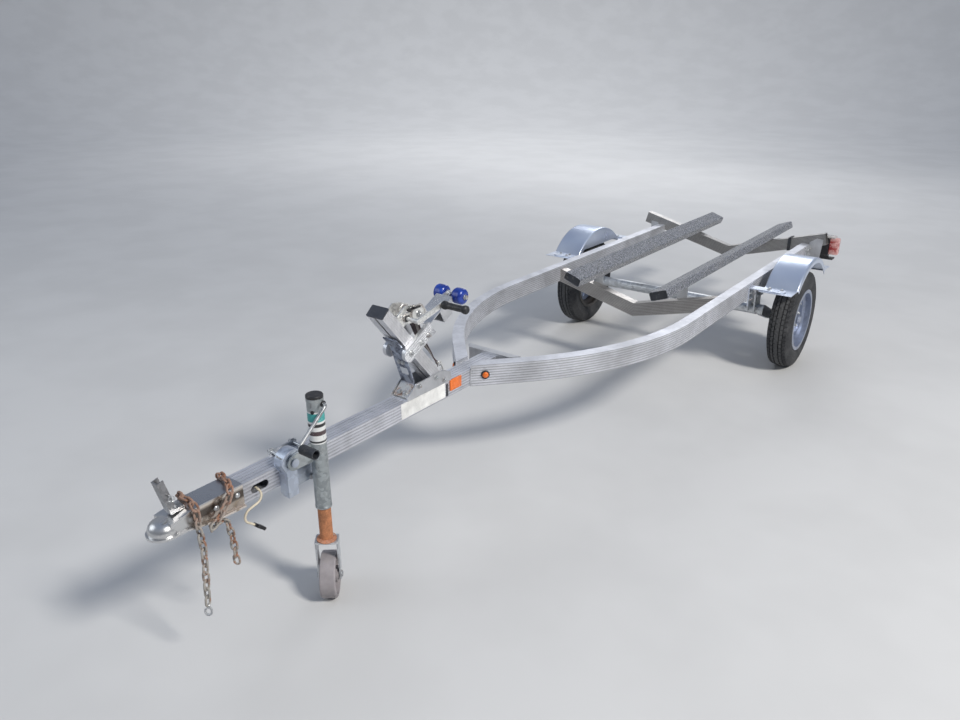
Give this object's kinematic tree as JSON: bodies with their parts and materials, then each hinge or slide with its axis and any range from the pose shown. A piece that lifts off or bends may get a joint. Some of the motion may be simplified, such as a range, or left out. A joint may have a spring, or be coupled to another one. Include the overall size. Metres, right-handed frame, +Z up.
{
  "type": "boat trailer",
  "caption": "Light single-craft boat trailer in ribbed aluminium, with carpeted bunks, fenders, winch post with blue bow rollers, swivel jack and ball coupler.",
  "frame": {"origin": "on the floor under the middle of the trailer's length and width", "axes": "+X the trailer's left, +Y its rear, +Z up"},
  "size_m": [1.45, 4.554, 0.8619],
  "materials": {
    "ribbed_aluminium": "ribbed mill finish, lightly dulled",
    "plate_aluminium": "plain sheet",
    "carpet": "dark speckled bunk carpet",
    "galvanised_steel": "galvanised, weathered",
    "zinc_steel": "bright zinc plate",
    "rusty_steel": "rusted",
    "tyre_rubber": "dusty tread and sidewall",
    "fender_skin": "silver grey, smooth",
    "black_plastic": "moulded",
    "red_lens": "red lens",
    "wheel_plastic": "hard plastic, worn",
    "blue_urethane": "blue moulded roller",
    "webbing": "dark woven strap",
    "cable_rubber": "flat four-core cable"
  },
  "bodies": {
    "root": {"arm_bolts": "zinc_steel", "axle": "galvanised_steel", "axle_arm_left": "galvanised_steel", "axle_arm_right": "galvanised_steel", "beam_gussets": "plate_aluminium", "bow_arm_left": "ribbed_aluminium", "bow_arm_right": "ribbed_aluminium", "bow_beam": "ribbed_aluminium", "bow_bolt": "zinc_steel", "bunk_brackets_front": "plate_aluminium", "bunk_brackets_rear": "plate_aluminium", "bunk_left": "carpet", "bunk_right": "carpet", "coupler": "zinc_steel", "coupler_latch": "zinc_steel", "cross_member_front": "ribbed_aluminium", "cross_member_rear": "ribbed_aluminium", "fender_bracket_left": "galvanised_steel", "fender_bracket_right": "galvanised_steel", "fender_left": "fender_skin", "fender_right": "fender_skin", "jack_bracket": "galvanised_steel", "jack_clamp": "galvanised_steel", "post_cap": "black_plastic", "post_saddle": "plate_aluminium", "post_strut": "plate_aluminium", "rail_end_brackets": "plate_aluminium", "rail_left": "ribbed_aluminium", "rail_right": "ribbed_aluminium", "safety_chain_left": "rusty_steel", "safety_chain_right": "rusty_steel", "strap_hook": "zinc_steel", "tail_lens_left": "red_lens", "tail_light_left": "black_plastic", "tongue": "ribbed_aluminium", "tongue_cross": "ribbed_aluminium", "winch_crank": "zinc_steel", "winch_drum": "zinc_steel", "winch_frame": "zinc_steel", "winch_grip": "black_plastic", "winch_post": "ribbed_aluminium", "winch_strap": "webbing", "wiring_cable": "cable_rubber", "wiring_plug": "black_plastic"},
    "wheel_left": {"hub_left": "galvanised_steel", "rim_left": "galvanised_steel", "tyre_left": "tyre_rubber"},
    "wheel_right": {"hub_right": "galvanised_steel", "rim_right": "galvanised_steel", "tyre_right": "tyre_rubber"},
    "jack": {"jack_tube": "galvanised_steel", "jack_cap": "black_plastic", "jack_crank": "zinc_steel", "jack_grip": "black_plastic"},
    "jack_leg": {"jack_leg": "rusty_steel"},
    "jack_foot": {"jack_foot": "galvanised_steel"},
    "caster": {"caster_fork": "galvanised_steel"},
    "caster_wheel": {"caster_wheel": "wheel_plastic"},
    "bow_roller_left": {"bow_roller_left": "blue_urethane"},
    "bow_roller_right": {"bow_roller_right": "blue_urethane"}
  },
  "joints": [
    {"name": "wheel_left_spin", "type": "hinge", "parent": "root", "child": "wheel_left", "pos_m": [0.65, 1.143, 0.268], "axis": [1, 0, 0], "continuous": true},
    {"name": "wheel_right_spin", "type": "hinge", "parent": "root", "child": "wheel_right", "pos_m": [-0.65, 1.143, 0.268], "axis": [1, 0, 0], "continuous": true},
    {"name": "jack_swivel", "type": "hinge", "parent": "root", "child": "jack", "pos_m": [0.0765, -1.854, 0.522], "axis": [1, 0, 0], "range_deg": [0, 90]},
    {"name": "jack_lift", "type": "slide", "parent": "jack", "child": "jack_leg", "axis": [0, 0, 1], "range_m": [0, 0.113]},
    {"name": "caster_alignment", "type": "hinge", "parent": "jack_leg", "child": "jack_foot", "pos_m": [0.082, -1.763, 0.217], "axis": [0, 0, 1], "range_deg": [-45, 0]},
    {"name": "caster_swivel", "type": "hinge", "parent": "jack_foot", "child": "caster", "pos_m": [0.082, -1.763, 0.21], "axis": [0, 0, 1], "continuous": true},
    {"name": "caster_roll", "type": "hinge", "parent": "caster", "child": "caster_wheel", "pos_m": [0.07814, -1.7584, 0.075], "axis": [0.766, 0.6428, 0], "continuous": true},
    {"name": "bow_roller_left_spin", "type": "hinge", "parent": "root", "child": "bow_roller_left", "pos_m": [0.041, -1.0305, 0.816], "axis": [1, 0, 0], "continuous": true},
    {"name": "bow_roller_right_spin", "type": "hinge", "parent": "root", "child": "bow_roller_right", "pos_m": [-0.041, -1.0305, 0.816], "axis": [1, 0, 0], "continuous": true}
  ],
  "couplings": [
    {"joint": "caster_alignment", "follows": "jack_swivel", "ratio": -0.5}
  ]
}
